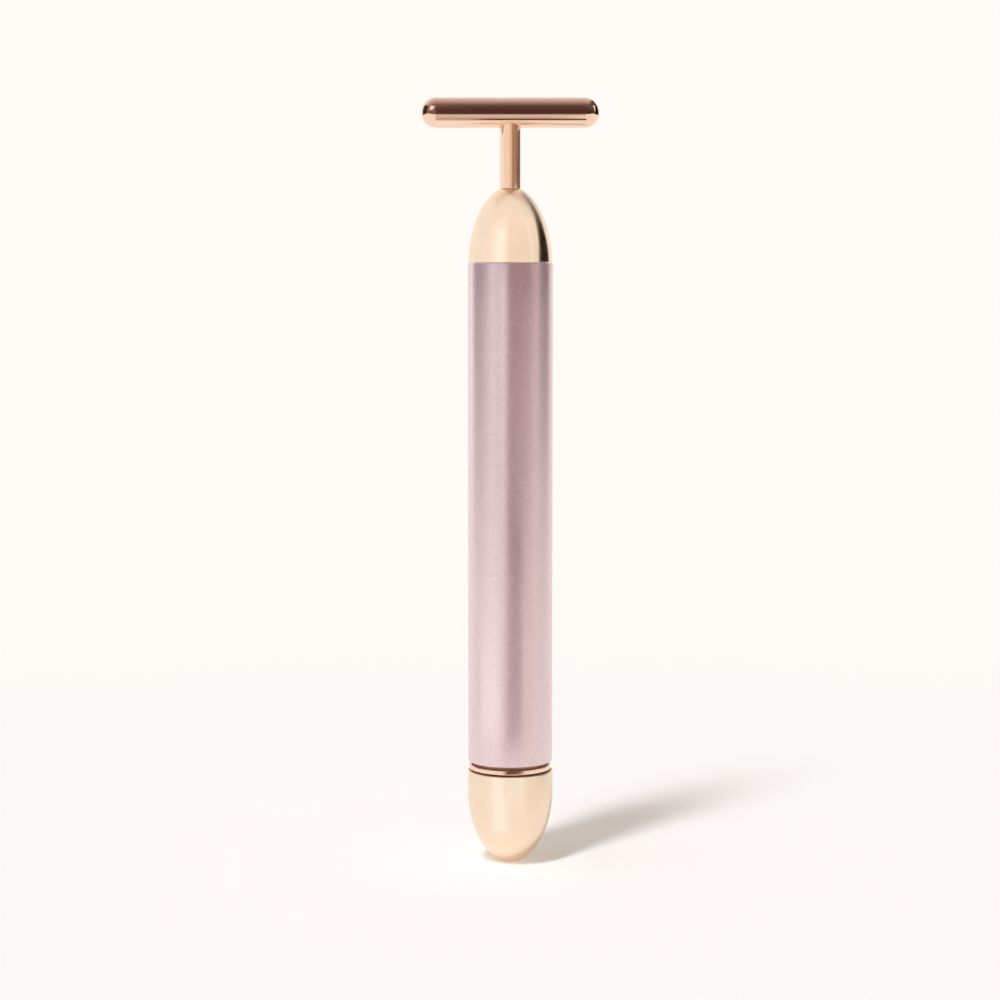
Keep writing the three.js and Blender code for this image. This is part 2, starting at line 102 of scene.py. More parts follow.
def closeMesh(gap=weld):
    # in edit mode, welds the corners, fills open ends and turns all faces outwards
    selectAll()
    bpy.ops.mesh.remove_doubles(threshold=gap)
    bpy.ops.mesh.fill_holes(sides=0)
    selectAll()
    bpy.ops.mesh.normals_make_consistent(inside=False)
    bpy.ops.object.mode_set(mode="OBJECT")


def smooth(piece, angle):
    activate(piece)
    bpy.ops.object.shade_smooth_by_angle(angle=math.radians(angle))


def applyPlace():
    bpy.ops.object.transform_apply(location=True, rotation=True, scale=True)


def named(piece, name):
    piece.name = name
    piece.data.name = name
    return piece


# Turned pieces: an outline is drawn beside the axis by extruding one corner, then spun. Where it turns by more
# degrees than the number for a corner, it is rounded in a few steps. The points of curves turn by less.

turning = {"corner": 25, "cornerSteps": 4, "smooth": 35}


def drawOutline(name, outline):
    clearSelection()
    bpy.ops.mesh.primitive_plane_add(size=mm)
    piece = named(bpy.context.active_object, name)
    bpy.ops.object.mode_set(mode="EDIT")
    bpy.ops.mesh.select_mode(type="VERT")
    selectAll()
    bpy.ops.mesh.merge(type="CENTER")
    radius, height = outline[0]
    bpy.ops.transform.translate(value=(radius, 0, height))
    for nextRadius, nextHeight in outline[1:]:
        step = (nextRadius - radius, 0, nextHeight - height)
        bpy.ops.mesh.extrude_vertices_move(TRANSFORM_OT_translate={"value": step})
        radius, height = nextRadius, nextHeight
    selectAll()
    bpy.ops.mesh.remove_doubles(threshold=weld)
    return piece


def softenCorners(piece, edge):
    mesh = bmesh.from_edit_mesh(piece.data)
    for vert in mesh.verts:
        vert.select = False
        if len(vert.link_edges) == 2:
            ways = [(e.other_vert(vert).co - vert.co).normalized() for e in vert.link_edges]
            vert.select = math.degrees(ways[0].angle(-ways[1], 0)) > turning["corner"]
    mesh.select_flush_mode()
    bmesh.update_edit_mesh(piece.data)
    bpy.ops.mesh.bevel(offset=edge, segments=turning["cornerSteps"], affect="VERTICES", clamp_overlap=True)


def turnPiece(name, outline, sides, edge, closed=False):
    piece = drawOutline(name, [*outline, outline[0]] if closed else outline)
    softenCorners(piece, edge)
    selectAll()
    bpy.ops.mesh.spin(steps=sides, angle=2 * math.pi, center=(0, 0, 0), axis=(0, 0, 1))
    closeMesh()
    smooth(piece, turning["smooth"])
    return piece


def wind(piece, turns, rise, turnSides):
    # sweeps the piece's outline up a right-hand helix
    activate(piece)
    screw = piece.modifiers.new("helix", "SCREW")
    screw.angle = 2 * math.pi * turns
    screw.screw_offset = rise
    screw.steps = screw.render_steps = round(turnSides * turns)
    bpy.ops.object.modifier_apply(modifier="helix")


def ogive(radius, closing, fullness, fromHeight, toHeight, steps):
    # the radius falls from the full one at height 0 to nothing at the closing height
    angles = [math.asin((height / closing) ** (fullness / 2)) for height in (fromHeight, toHeight)]
    points = []
    for i in range(steps + 1):
        angle = angles[0] + (angles[1] - angles[0]) * i / steps
        shrink = max(math.cos(angle), 0) ** (2 / fullness)
        points.append((radius * shrink, closing * math.sin(angle) ** (2 / fullness)))
    return points


# Materials. The owner of a node is a material, or the world.

def addNode(owner, kind, **settings):
    node = owner.node_tree.nodes.new(kind)
    for name, value in settings.items():
        if name in node.inputs:
            node.inputs[name].default_value = value
        else:
            setattr(node, name, value)
    return node


def link(owner, source, target):
    owner.node_tree.links.new(source, target)


def newMaterial(name, sockets):
    material = bpy.data.materials.new(name)
    material.use_nodes = True
    shader = material.node_tree.nodes["Principled BSDF"]
    for socket, value in sockets.items():
        shader.inputs[socket].default_value = value
    place = addNode(material, "ShaderNodeTexCoord").outputs["Object"]
    return material, shader, place


def stretched(material, place, scale):
    mapping = addNode(material, "ShaderNodeMapping", Scale=scale)
    link(material, place, mapping.inputs["Vector"])
    return mapping.outputs["Vector"]


def noise(material, vector, scale, detail=3.0, roughness=0.5):
    texture = addNode(material, "ShaderNodeTexNoise", Scale=scale, Detail=detail, Roughness=roughness)
    link(material, vector, texture.inputs["Vector"])
    return texture.outputs["Fac"]


def spread(material, value, low, high, fromLow=0.3, fromHigh=0.7):
    # maps the noise's usual range to the one that the finish has
    node = addNode(material, "ShaderNodeMapRange")
    for name, number in zip(("From Min", "From Max", "To Min", "To Max"), (fromLow, fromHigh, low, high)):
        node.inputs[name].default_value = number
    link(material, value, node.inputs["Value"])
    return node.outputs["Result"]


def total(material, first, second, weight=1.0):
    node = addNode(material, "ShaderNodeMath", operation="MULTIPLY_ADD")
    link(material, second, node.inputs[0])
    node.inputs[1].default_value = weight
    link(material, first, node.inputs[2])
    return node.outputs["Value"]


def colourBetween(material, shader, value, first, second):
    # the mix node has several inputs called A and B: 6, 7 and output 2 are the colours
    node = addNode(material, "ShaderNodeMix", data_type="RGBA")
    node.inputs[6].default_value = (*first, 1)
    node.inputs[7].default_value = (*second, 1)
    link(material, value, node.inputs[0])
    link(material, node.outputs[2], shader.inputs["Base Color"])


def addRelief(material, shader, height, distance, strength):
    bump = addNode(material, "ShaderNodeBump", Distance=distance, Strength=strength)
    link(material, height, bump.inputs["Height"])
    link(material, bump.outputs["Normal"], shader.inputs["Normal"])


def splitAxes(material, place):
    axes = addNode(material, "ShaderNodeSeparateXYZ")
    link(material, place, axes.inputs[0])
    return axes.outputs


# how the noise of clouds and smudges, of turned rings and polishing lines, and of flecks is built up
cloudy = {"detail": 4, "roughness": 0.6}
streaky = {"detail": 2}
flecked = {"detail": 2, "roughness": 0.6}

polished = {
    "colour": (0.945, 0.71, 0.56), "handled": (0.93, 0.68, 0.52),
    "smudge": 220, "rough": (0.09, 0.13), "lines": 2600, "lineDepth": 0.0006 * mm, "relief": 0.5,
}


def polishedRoseGold(name, along):
    # mirror polish with faint polishing lines along one way and the bloom of handling
    material, shader, place = newMaterial(name, {"Metallic": 1.0})
    smudges = noise(material, place, polished["smudge"], **cloudy)
    colourBetween(material, shader, spread(material, smudges, 0, 1), polished["colour"], polished["handled"])
    link(material, spread(material, smudges, *polished["rough"]), shader.inputs["Roughness"])
    lines = noise(material, stretched(material, place, along), polished["lines"], **streaky)
    addRelief(material, shader, lines, polished["lineDepth"], polished["relief"])
    return material


satin = {
    "clouds": 150, "rings": 3200, "ringStretch": (0.03, 0.03, 1), "ringDepth": 0.0015 * mm, "relief": 0.4,
    "crownFrom": 125 * mm, "crownTo": 132 * mm, "crownMatt": 0.18,
}
capLook = {"colour": (0.968, 0.765, 0.585), "handled": (0.955, 0.74, 0.555), "rough": (0.16, 0.20)}
tailLook = {"colour": (0.932, 0.762, 0.598), "handled": (0.922, 0.747, 0.578), "rough": (0.26, 0.34)}


def satinChampagne(name, look):
    # fine turned rings in a pale gold plating, whose polish fades towards the crown
    material, shader, place = newMaterial(name, {"Metallic": 1.0})
    clouds = noise(material, place, satin["clouds"], **cloudy)
    colourBetween(material, shader, spread(material, clouds, 0, 1), look["colour"], look["handled"])
    height = splitAxes(material, place)["Z"]
    crown = spread(material, height, 0, satin["crownMatt"], satin["crownFrom"], satin["crownTo"])
    rough = total(material, spread(material, clouds, *look["rough"]), crown)
    link(material, rough, shader.inputs["Roughness"])
    rings = noise(material, stretched(material, place, satin["ringStretch"]), satin["rings"], **streaky)
    addRelief(material, shader, rings, satin["ringDepth"], satin["relief"])
    return material


anodised = {
    "shader": {"Metallic": 0.9, "Coat Weight": 0.1, "Coat Roughness": 0.3},
    "colour": (0.768, 0.613, 0.633), "pearl": (0.892, 0.742, 0.762),
    "flecks": 1700, "fleckShare": 0.7, "fleckRise": 1.2,
    "clouds": 90, "cloudShare": 0.3, "cloudStretch": (1, 1, 0.4), "cloudWeight": 0.5,
    "rough": (0.29, 0.36), "roughFrom": 0.5, "roughTo": 1.0,
    "rings": 2400, "ringStretch": (0.04, 0.04, 1), "ringDepth": 0.004 * mm, "relief": 0.5,
}


def pinkAnodised(name):
    # pearly flecks in the anodised layer over fine turned rings
    look = anodised
    material, shader, place = newMaterial(name, look["shader"])
    flecks = noise(material, place, look["flecks"], **flecked)
    clouds = noise(material, stretched(material, place, look["cloudStretch"]), look["clouds"])
    tone = total(material, spread(material, flecks, 0, look["fleckShare"]),
                 spread(material, clouds, 0, look["cloudShare"]))
    colourBetween(material, shader, tone, look["colour"], look["pearl"])
    both = total(material, flecks, clouds, look["cloudWeight"])
    rough = spread(material, both, *look["rough"], look["roughFrom"], look["roughTo"])
    link(material, rough, shader.inputs["Roughness"])
    rings = noise(material, stretched(material, place, look["ringStretch"]), look["rings"], **streaky)
    height = total(material, rings, flecks, look["fleckRise"])
    addRelief(material, shader, height, look["ringDepth"], look["relief"])
    return material


# Finishes of the inner pieces: a grain, and patches that are so many times as wide. The sum of the two noises
# usually lies between the two numbers.
innerWear = {"patchWidth": 8, "from": 0.6, "to": 1.4, "relief": 0.6}
innerLooks = {
    "plain_steel": {"colour": (0.62, 0.63, 0.64), "second": (0.50, 0.51, 0.53), "metallic": 1.0,
                    "rough": (0.25, 0.42), "grain": 1500, "stretch": (0.1, 0.1, 1), "depth": 0.003 * mm},
    "contact_brass": {"colour": (0.74, 0.56, 0.26), "second": (0.60, 0.42, 0.18), "metallic": 1.0,
                      "rough": (0.22, 0.40), "grain": 1200, "stretch": (0.1, 0.1, 1), "depth": 0.003 * mm},
    "bush_bronze": {"colour": (0.66, 0.38, 0.28), "second": (0.56, 0.30, 0.21), "metallic": 0.5,
                    "rough": (0.40, 0.60), "grain": 1500, "stretch": (0.1, 0.1, 1), "depth": 0.003 * mm},
    "dark_iron": {"colour": (0.16, 0.16, 0.17), "second": (0.09, 0.09, 0.095), "metallic": 0.8,
                  "rough": (0.45, 0.70), "grain": 1800, "stretch": (1, 1, 1), "depth": 0.01 * mm},
    "black_rubber": {"colour": (0.03, 0.03, 0.032), "second": (0.045, 0.044, 0.043), "metallic": 0.0,
                     "rough": (0.65, 0.90), "grain": 2200, "stretch": (1, 1, 1), "depth": 0.008 * mm},
    "white_plastic": {"colour": (0.80, 0.79, 0.76), "second": (0.74, 0.72, 0.68), "metallic": 0.0,
                      "rough": (0.38, 0.55), "grain": 900, "stretch": (1, 1, 1), "depth": 0.006 * mm},
    "liner_film": {"colour": (0.70, 0.66, 0.54), "second": (0.64, 0.59, 0.46), "metallic": 0.0,
                   "rough": (0.35, 0.60), "grain": 700, "stretch": (1, 1, 0.2), "depth": 0.006 * mm},
    "green_board": {"colour": (0.06, 0.22, 0.12), "second": (0.08, 0.28, 0.15), "metallic": 0.0,
                    "rough": (0.30, 0.50), "grain": 1400, "stretch": (1, 1, 0.1), "depth": 0.004 * mm},
    "red_lead": {"colour": (0.55, 0.03, 0.03), "second": (0.45, 0.02, 0.02), "metallic": 0.0,
                 "rough": (0.35, 0.55), "grain": 1500, "stretch": (1, 1, 0.3), "depth": 0.004 * mm},
    "black_lead": {"colour": (0.03, 0.03, 0.035), "second": (0.05, 0.05, 0.055), "metallic": 0.0,
                   "rough": (0.35, 0.55), "grain": 1500, "stretch": (1, 1, 0.3), "depth": 0.004 * mm},
    "cell_label": {"colour": (0.10, 0.13, 0.17), "second": (0.13, 0.16, 0.20), "metallic": 0.3,
                   "rough": (0.28, 0.42), "grain": 600, "stretch": (1, 1, 0.2), "depth": 0.004 * mm},
}


def innerFinish(name):
    look = innerLooks[name]
    material, shader, place = newMaterial(name, {"Metallic": look["metallic"]})
    grain = noise(material, stretched(material, place, look["stretch"]), look["grain"])
    patches = noise(material, place, look["grain"] / innerWear["patchWidth"], **cloudy)
    colourBetween(material, shader, spread(material, patches, 0, 1), look["colour"], look["second"])
    both = total(material, grain, patches)
    rough = spread(material, both, *look["rough"], innerWear["from"], innerWear["to"])
    link(material, rough, shader.inputs["Roughness"])
    addRelief(material, shader, grain, look["depth"], innerWear["relief"])
    return material


# polishing lines run along the bar and the neck, and round the ring
polishWays = {"bar": (0.05, 1, 1), "neck": (1, 1, 0.05), "ring": (0.05, 0.05, 1)}
finishes = {name: innerFinish(name) for name in innerLooks}
finishes["bar_rose_gold"] = polishedRoseGold("bar_rose_gold", polishWays["bar"])
finishes["cap_champagne"] = satinChampagne("cap_champagne", capLook)
tailFinish = satinChampagne("tail_champagne", tailLook)
finishes["ring_champagne"] = polishedRoseGold("ring_champagne", polishWays["ring"])
finishes["tube_pink_anodised"] = pinkAnodised("tube_pink_anodised")
neckFinish = polishedRoseGold("neck_rose_gold", polishWays["neck"])


def dress(piece, material):
    piece.data.materials.clear()
    piece.data.materials.append(material)


def standIn(piece, node, body, slot, material=None):
    dress(piece, material or finishes[slot])
    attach(piece, body)
    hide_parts(node)
    return piece


# the frame's own meshes, which show where a node has no finer piece
for subpart in frame["record"]["subparts"]:
    node = frame["nodes"][subpart["node"]]
    for place in range(len(node.material_slots)):
        node.material_slots[place].link = "OBJECT"
        node.material_slots[place].material = finishes[subpart["material_slot"]]
print("materials made:", len(finishes) + 2)


# T-bar: a ball drawn out into a rod, with the neck's socket underneath

bar = {"sides": 96, "rings": 48, "socketRoom": 0.05 * mm, "seatRise": 0.3 * mm, "smooth": 30}


def makeBar():
    low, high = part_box("t_bar")
    radius = (high.z - low.z) / 2
    middle = (high.z + low.z) / 2
    reach = high.x - radius
    clearSelection()
    bpy.ops.mesh.primitive_uv_sphere_add(segments=bar["sides"], ring_count=bar["rings"], radius=radius,
                                         location=(0, 0, middle), rotation=(0, math.pi / 2, 0))
    piece = named(bpy.context.active_object, "bar_body")
    applyPlace()
    bpy.ops.object.mode_set(mode="EDIT")
    pickFaces(piece, lambda place: place.x > 0)
    bpy.ops.mesh.extrude_region_move(TRANSFORM_OT_translate={"value": (2 * reach, 0, 0)})
    selectAll()
    bpy.ops.transform.translate(value=(-reach, 0, 0))
    bpy.ops.object.mode_set(mode="OBJECT")
    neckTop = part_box("neck_stem")[1]
    depth = radius * 2
    clearSelection()
    bpy.ops.mesh.primitive_cylinder_add(vertices=bar["sides"], radius=neckTop.x + bar["socketRoom"],
                                        depth=depth,
                                        location=(0, 0, neckTop.z + bar["seatRise"] - depth / 2))
    cutter = bpy.context.active_object
    activate(piece)
    socket = piece.modifiers.new("socket", "BOOLEAN")
    socket.operation = "DIFFERENCE"
    socket.object = cutter
    bpy.ops.object.modifier_apply(modifier="socket")
    bpy.data.objects.remove(cutter)
    smooth(piece, bar["smooth"])
    return standIn(piece, "t_bar", "handle", "bar_rose_gold")


# Neck: a plain pin with a thinner spigot that goes down through the crown

neck = {"spigotRadius": 1.5 * mm, "seatGap": 0.05 * mm, "edge": 0.12 * mm, "sides": 96}


def makeNeck():
    low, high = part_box("neck_stem")
    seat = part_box("head_cap")[1].z + neck["seatGap"]
    outline = [(0, low.z), (neck["spigotRadius"], low.z), (neck["spigotRadius"], seat), (high.x, seat),
               (high.x, high.z), (0, high.z)]
    piece = turnPiece("neck_pin", outline, neck["sides"], neck["edge"])
    return standIn(piece, "neck_stem", "handle", "bar_rose_gold", neckFinish)


# Head cap: an ogive shell with a thick crown that the neck stands on

cap = {"fullness": 1.9, "blunt": 0.6 * mm, "wall": 0.9 * mm, "crown": 2.35 * mm, "cavityFullness": 2,
       "cavityBlunt": 1.55 * mm, "bore": 1.6 * mm, "edge": 0.1 * mm, "steps": 44, "sides": 144}


def makeCap():
    low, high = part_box("head_cap")
    height = high.z - low.z
    ceiling = height - cap["crown"]
    outer = ogive(high.x, height + cap["blunt"], cap["fullness"], 0, height, cap["steps"])
    cavity = ogive(high.x - cap["wall"], ceiling + cap["cavityBlunt"], cap["cavityFullness"], 0, ceiling,
                   cap["steps"])
    rise = [*outer, (cap["bore"], height), (cap["bore"], ceiling), *reversed(cavity)]
    outline = [(radius, low.z + up) for radius, up in rise]
    piece = turnPiece("head_shell", outline, cap["sides"], cap["edge"], closed=True)
    return standIn(piece, "head_cap", "handle", "cap_champagne")


# Barrel tube: a drawn tube with its edges broken

tube = {"wall": 0.7 * mm, "edge": 0.12 * mm, "sides": 160, "lands": 12}


def makeTube():
    low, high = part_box("barrel_tube")
    bore = high.x - tube["wall"]
    lands = [(high.x, low.z + (high.z - low.z) * i / tube["lands"]) for i in range(tube["lands"])]
    outline = [(bore, low.z), *lands, (high.x, high.z), (bore, high.z)]
    piece = turnPiece("barrel_shell", outline, tube["sides"], tube["edge"], closed=True)
    return standIn(piece, "barrel_tube", "handle", "tube_pink_anodised")


# Tail ring: the bright band between the two reveals

ring = {"bore": 7.7 * mm, "edge": 0.14 * mm, "land": 0.2 * mm, "sides": 144}


def makeRing():
    low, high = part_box("tail_ring")
    outline = [(ring["bore"], low.z), (high.x, low.z), (high.x, low.z + ring["land"]),
               (high.x, high.z - ring["land"]), (high.x, high.z), (ring["bore"], high.z)]
    piece = turnPiece("reveal_band", outline, ring["sides"], ring["edge"], closed=True)
    return standIn(piece, "tail_ring", "handle", "ring_champagne")


# Tail cap: a bullet down to its small foot, hollow at the top for the plug. The rim's top face in the lower
# reveal takes a darker brown bronze: painted shade of the reveal.

tail = {"noseLength": 14.5 * mm, "fullness": 1.9, "foot": 2.5 * mm, "cavityDepth": 9.4 * mm,
        "rimWall": 1.2 * mm, "rimUpwards": 0.99, "rimDepth": 0.01 * mm, "edge": 0.14 * mm, "steps": 44,
        "sides": 144}


def makeTail():
    low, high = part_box("tail_cap")
    share = (tail["foot"] / high.x) ** tail["fullness"]
    noseHeight = tail["noseLength"] * (1 - share) ** (1 / tail["fullness"])
    nose = ogive(high.x, tail["noseLength"], tail["fullness"], 0, noseHeight, tail["steps"])
    cavity = high.x - tail["rimWall"]
    floor = high.z - tail["cavityDepth"]
    outline = [(0, low.z), *((radius, noseHeight - up) for radius, up in reversed(nose)),
               (high.x, high.z), (cavity, high.z), (cavity, floor), (0, floor)]
    piece = turnPiece("tail_bullet", outline, tail["sides"], tail["edge"])
    standIn(piece, "tail_cap", "tail", "cap_champagne", tailFinish)
    # painted shade: the rim's top face inside the lower reveal is coloured a darker brown bronze, so the
    # reveal shows as a dark brown line
    piece.data.materials.append(finishes["bush_bronze"])
    for face in piece.data.polygons:
        paintedShadeFace = face.normal.z > tail["rimUpwards"] and face.center.z > high.z - tail["rimDepth"]
        face.material_index = 1 if paintedShadeFace else 0
    return piece


# Threaded plug: a hollow body in the tail, a groove for the seal, a real thread and a plain nose

plug = {"shoulder": 17.95 * mm, "neck": 6.52 * mm, "groove": 5.88 * mm, "grooveLow": 19.28 * mm,
        "grooveHigh": 20.32 * mm, "land": 20.62 * mm, "root": 5.95 * mm, "threadTop": 24.35 * mm,
        "nose": 6.22 * mm, "pocket": 5.32 * mm, "pocketFloor": 24.0 * mm, "hollowTop": 21.0 * mm,
        "edge": 0.12 * mm, "sides": 128, "smooth": 30}
thread = {"pitch": 1.5 * mm, "crest": 6.6 * mm, "sink": 0.12 * mm, "halfBase": 0.58 * mm,
          "halfCrest": 0.09 * mm, "from": 21.3 * mm, "to": 24.05 * mm, "sides": 128}


def makeThread():
    start, rise = thread["from"], thread["to"] - thread["from"]
    inside = plug["root"] - thread["sink"]
    profile = [(inside, start - thread["halfBase"]), (thread["crest"], start - thread["halfCrest"]),
               (thread["crest"], start + thread["halfCrest"]), (inside, start + thread["halfBase"])]
    ridge = drawOutline("thread_ridge", [*profile, profile[0]])
    wind(ridge, rise / thread["pitch"], rise, thread["sides"])
    bpy.ops.object.mode_set(mode="EDIT")
    closeMesh()
    return ridge


def makePlug():
    low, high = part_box("thread_plug")
    outline = [(0, plug["hollowTop"]), (plug["pocket"], plug["hollowTop"]), (plug["pocket"], low.z),
               (high.x, low.z), (high.x, plug["shoulder"]), (plug["neck"], plug["shoulder"]),
               (plug["neck"], plug["grooveLow"]), (plug["groove"], plug["grooveLow"]),
               (plug["groove"], plug["grooveHigh"]), (plug["neck"], plug["grooveHigh"]),
               (plug["neck"], plug["land"]), (plug["root"], plug["land"] + plug["neck"] - plug["root"]),
               (plug["root"], plug["threadTop"]),
               (plug["nose"], plug["threadTop"] + plug["nose"] - plug["root"]), (plug["nose"], high.z),
               (plug["pocket"], high.z), (plug["pocket"], plug["pocketFloor"]), (0, plug["pocketFloor"])]
    piece = turnPiece("plug_body", outline, plug["sides"], plug["edge"])
    ridge = makeThread()
    activate(piece)
    ridge.select_set(True)
    bpy.ops.object.join()
    smooth(piece, plug["smooth"])
    return standIn(piece, "thread_plug", "tail", "contact_brass")


# Thread bush: a wider mouth for the seal, then the bore that the plug runs in

bush = {"bore": 6.72 * mm, "mouth": 6.87 * mm, "mouthDepth": 2.05 * mm, "edge": 0.15 * mm, "sides": 128}


def makeBush():
    low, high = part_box("tail_bush")
    step = low.z + bush["mouthDepth"]
    outline = [(bush["mouth"], low.z), (high.x, low.z), (high.x, high.z), (bush["bore"], high.z),
               (bush["bore"], step), (bush["mouth"], step)]
    piece = turnPiece("thread_bush", outline, bush["sides"], bush["edge"], closed=True)
    return standIn(piece, "tail_bush", "handle", "bush_bronze")


# Battery spring: a round wire coil with one close turn at each end

coil = {"bottom": 24.5 * mm, "length": 17.55 * mm, "wire": 0.4 * mm, "turns": 7.5, "endPitch": 1.3 * mm,
        "wireSides": 16, "turnSides": 48, "weld": 0.005 * mm, "smooth": 40}


def sweepWire(radius, height, startAngle, turns, rise):
    clearSelection()
    place = (radius * math.cos(startAngle), radius * math.sin(startAngle), height)
    bpy.ops.mesh.primitive_circle_add(vertices=coil["wireSides"], radius=coil["wire"], location=place,
                                      rotation=(math.pi / 2, 0, startAngle))
    wire = bpy.context.active_object
    applyPlace()
    wind(wire, turns, rise, coil["turnSides"])
    return wire


def makeSpring():
    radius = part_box("battery_spring")[1].x - coil["wire"]
    start = coil["bottom"] + coil["wire"]
    stop = coil["bottom"] + coil["length"] - coil["wire"]
    openTurns = coil["turns"] - 2
    parts = [sweepWire(radius, start, 0, 1, coil["endPitch"]),
             sweepWire(radius, start + coil["endPitch"], 0, openTurns, stop - start - 2 * coil["endPitch"]),
             sweepWire(radius, stop - coil["endPitch"], 2 * math.pi * (openTurns % 1), 1, coil["endPitch"])]
    activate(parts[0])
    for part in parts:
        part.select_set(True)
    bpy.ops.object.join()
    piece = named(bpy.context.active_object, "coil_spring")
    bpy.ops.object.mode_set(mode="EDIT")
    closeMesh(coil["weld"])
    smooth(piece, coil["smooth"])
    dress(piece, finishes["plain_steel"])
    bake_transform(piece)
    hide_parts("battery_spring")
    return piece


# Seals: round rubber rings in their grooves

seal = {"around": 128, "across": 20}
seals = {"tail_seal": ("tail_o_ring", "tail"), "head_seal": ("head_o_ring", "handle")}


def makeSeal(name, node, body):
    low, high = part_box(node)
    section = (high.z - low.z) / 2
    clearSelection()
    bpy.ops.mesh.primitive_torus_add(location=(0, 0, low.z + section), major_segments=seal["around"],
                                     minor_segments=seal["across"], major_radius=high.x - section,
                                     minor_radius=section)
    piece = named(bpy.context.active_object, name)
    applyPlace()
    activate(piece)
    bpy.ops.object.shade_smooth()
    return standIn(piece, node, body, "black_rubber")


# Plain turned rings and sleeves: the node that each replaces, its body, finish, bore and broken edge

sleeves = {
    "contact_band": {"node": "contact_ring", "body": "tail", "finish": "contact_brass", "bore": 6.6 * mm,
                     "edge": 0.08 * mm, "sides": 128},
    "motor_boot": {"node": "motor_sleeve", "body": "handle", "finish": "black_rubber", "bore": 5.02 * mm,
                   "edge": 0.2 * mm, "sides": 96},
    "cell_liner": {"node": "battery_sleeve", "body": "handle", "finish": "liner_film", "bore": 7.38 * mm,
                   "edge": 0.06 * mm, "sides": 128},
    "cell_washer": {"node": "battery_insulator", "body": "handle", "finish": "white_plastic",
                    "bore": 2.9 * mm, "edge": 0.08 * mm, "sides": 96},
}


def makeSleeve(name, look):
    low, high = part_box(look["node"])
    outline = [(look["bore"], low.z), (high.x, low.z), (high.x, high.z), (look["bore"], high.z)]
    piece = turnPiece(name, outline, look["sides"], look["edge"], closed=True)
    return standIn(piece, look["node"], look["body"], look["finish"])


# Cell and cup: the cell's label has a rolled groove near the top, its button a dimple, and the cup a round
# lip. The outlines are radius and height in millimetres, from the middle of the underside round to the top's.

turned = {
    "cell_body": {"node": "battery_can", "body": "handle", "finish": "cell_label", "edge": 0.12 * mm,
                  "sides": 96,
                  "outline": ((0, 0), (6.2, 0), (6.35, 0.15), (6.6, 0.15), (6.75, 0.05), (7.1, 0.45),
                              (7.1, 45.9), (6.86, 46.25), (6.86, 46.65), (7.1, 47.0), (7.1, 48.5),
                              (6.9, 48.85), (6.6, 49.0), (0, 49.0))},
    "cell_button": {"node": "battery_positive_cap", "body": "handle", "finish": "plain_steel",
                    "edge": 0.08 * mm, "sides": 96,
                    "outline": ((0, 0), (2.65, 0), (2.65, 0.85), (2.45, 1.05), (2.4, 1.45), (0.5, 1.45),
                                (0.4, 1.35), (0, 1.35))},
    "spring_dish": {"node": "spring_cup", "body": "spring_seat", "finish": "plain_steel", "edge": 0.12 * mm,
                    "sides": 96,
                    "outline": ((0, 0), (5.12, 0), (5.12, 2.4), (4.82, 2.4), (4.82, 0.4), (0, 0.4))},
}


def makeTurned(name, look):
    low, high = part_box(look["node"])
    outline = [(radius * mm, low.z + height * mm) for radius, height in look["outline"]]
    piece = turnPiece(name, outline, look["sides"], look["edge"])
    return standIn(piece, look["node"], look["body"], look["finish"])


for make in (makeBar, makeNeck, makeCap, makeTube, makeRing, makeTail, makePlug, makeBush, makeSpring):
    made = make()
    print("made", made.name, len(made.data.polygons), "faces")
for name, (node, body) in seals.items():
    makeSeal(name, node, body)
for name, look in sleeves.items():
    makeSleeve(name, look)
for name, look in turned.items():
    makeTurned(name, look)
print("made", len(seals) + len(sleeves) + len(turned), "seals, sleeves and inner turned pieces")


# Studio: a white floor and backdrop, a tall key that casts the shadow, and cards and lamps for the metal

aim = Vector((0, 0, 0.09))
backdrop = (1.0, 0.965, 0.925)
fill = {"colour": (1.0, 0.93, 0.82), "strength": 0.23}
# near the object the floor takes light and shadow, and between the two radii it fades into the backdrop
floorLook = {"size": 6.0, "paint": (0.86, 0.86, 0.86), "glow": (0.301, 0.265, 0.236), "fadeFrom": 0.16,
             "fadeTo": 0.42, "bounce": 0.8}


def raysThatShowBackdrop(owner):
    # camera, glossy and transmission rays see the backdrop as it is, diffuse rays see plain fill light
    path = addNode(owner, "ShaderNodeLightPath")
    value = path.outputs["Is Camera Ray"]
    for kind in ("Is Glossy Ray", "Is Transmission Ray"):
        node = addNode(owner, "ShaderNodeMath", operation="MAXIMUM")
        link(owner, value, node.inputs[0])
        link(owner, path.outputs[kind], node.inputs[1])
        value = node.outputs[0]
    return value


def mixShaders(owner, share, first, second):
    mix = addNode(owner, "ShaderNodeMixShader")
    for source, target in zip((share, first, second), mix.inputs):
        link(owner, source, target)
    return mix.outputs[0]


def plainMaterial(name):
    # a new material with nothing but its output
    material = bpy.data.materials.new(name)
    material.use_nodes = True
    material.node_tree.nodes.remove(material.node_tree.nodes["Principled BSDF"])
    return material


def showShader(owner, output, shader):
    link(owner, shader, owner.node_tree.nodes[output].inputs["Surface"])


def makeWorld():
    world = bpy.data.worlds.new("studio")
    bpy.context.scene.world = world
    world.use_nodes = True
    shown = world.node_tree.nodes["Background"]
    shown.inputs["Color"].default_value = (*backdrop, 1)
    soft = addNode(world, "ShaderNodeBackground", Color=(*fill["colour"], 1), Strength=fill["strength"])
    showShader(world, "World Output",
               mixShaders(world, raysThatShowBackdrop(world), soft.outputs[0], shown.outputs[0]))


